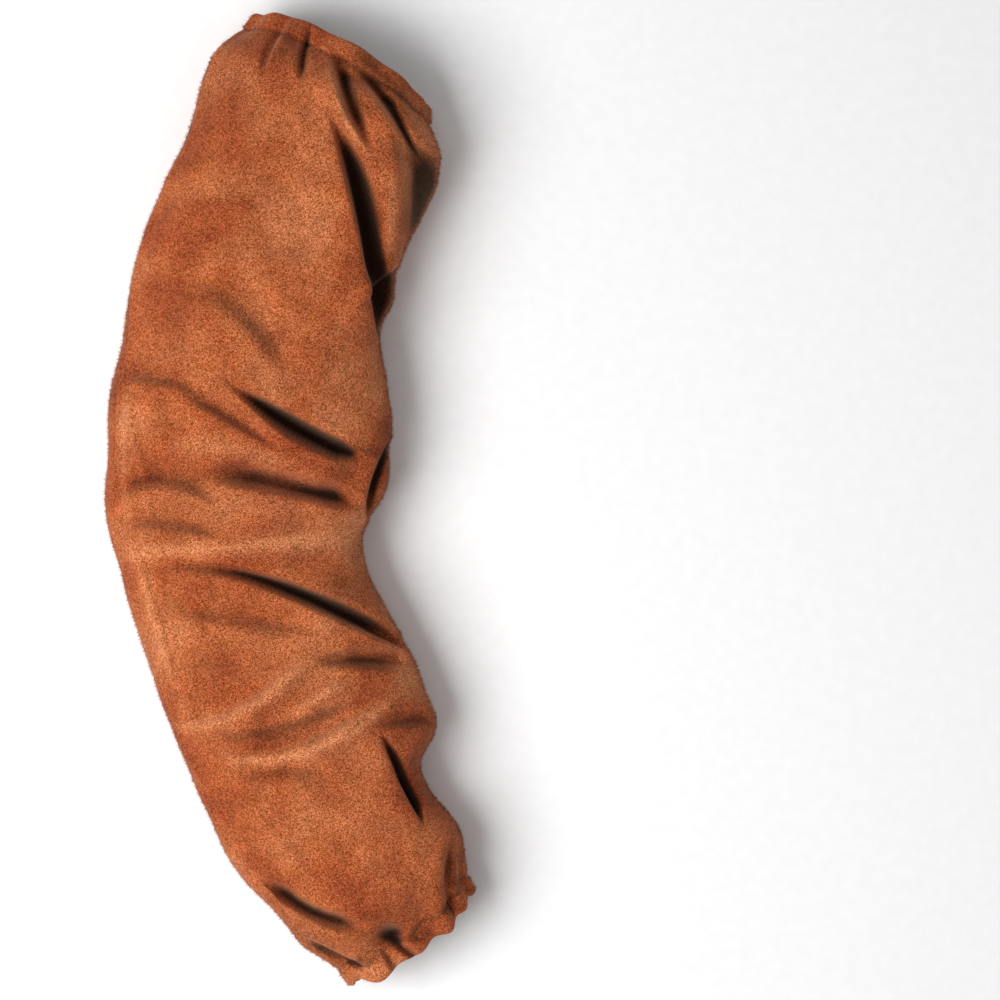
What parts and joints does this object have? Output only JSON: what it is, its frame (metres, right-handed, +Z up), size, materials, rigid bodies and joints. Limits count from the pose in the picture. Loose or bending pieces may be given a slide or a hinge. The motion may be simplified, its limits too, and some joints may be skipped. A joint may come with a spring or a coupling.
{
  "type": "welding sleeve",
  "caption": "Suede leather tube sleeve lying empty, bent at the elbow, with an elastic gathered mouth at the upper arm and at the wrist.",
  "frame": {"origin": "on the floor, under the middle of the sleeve's bounding box", "axes": "+Z up from the floor that the sleeve lies on, +Y towards the upper-arm end, the wrist end curls towards +X"},
  "size_m": [0.2234, 0.5912, 0.087],
  "materials": {
    "suede": "napped split leather, rust brown",
    "elastic": "woven flat elastic",
    "thread": "heavy dark sewing thread"
  },
  "bodies": {
    "root": {"sleeve_panel": "suede", "upper_elastic": "elastic", "wrist_elastic": "elastic"}
  },
  "joints": []
}
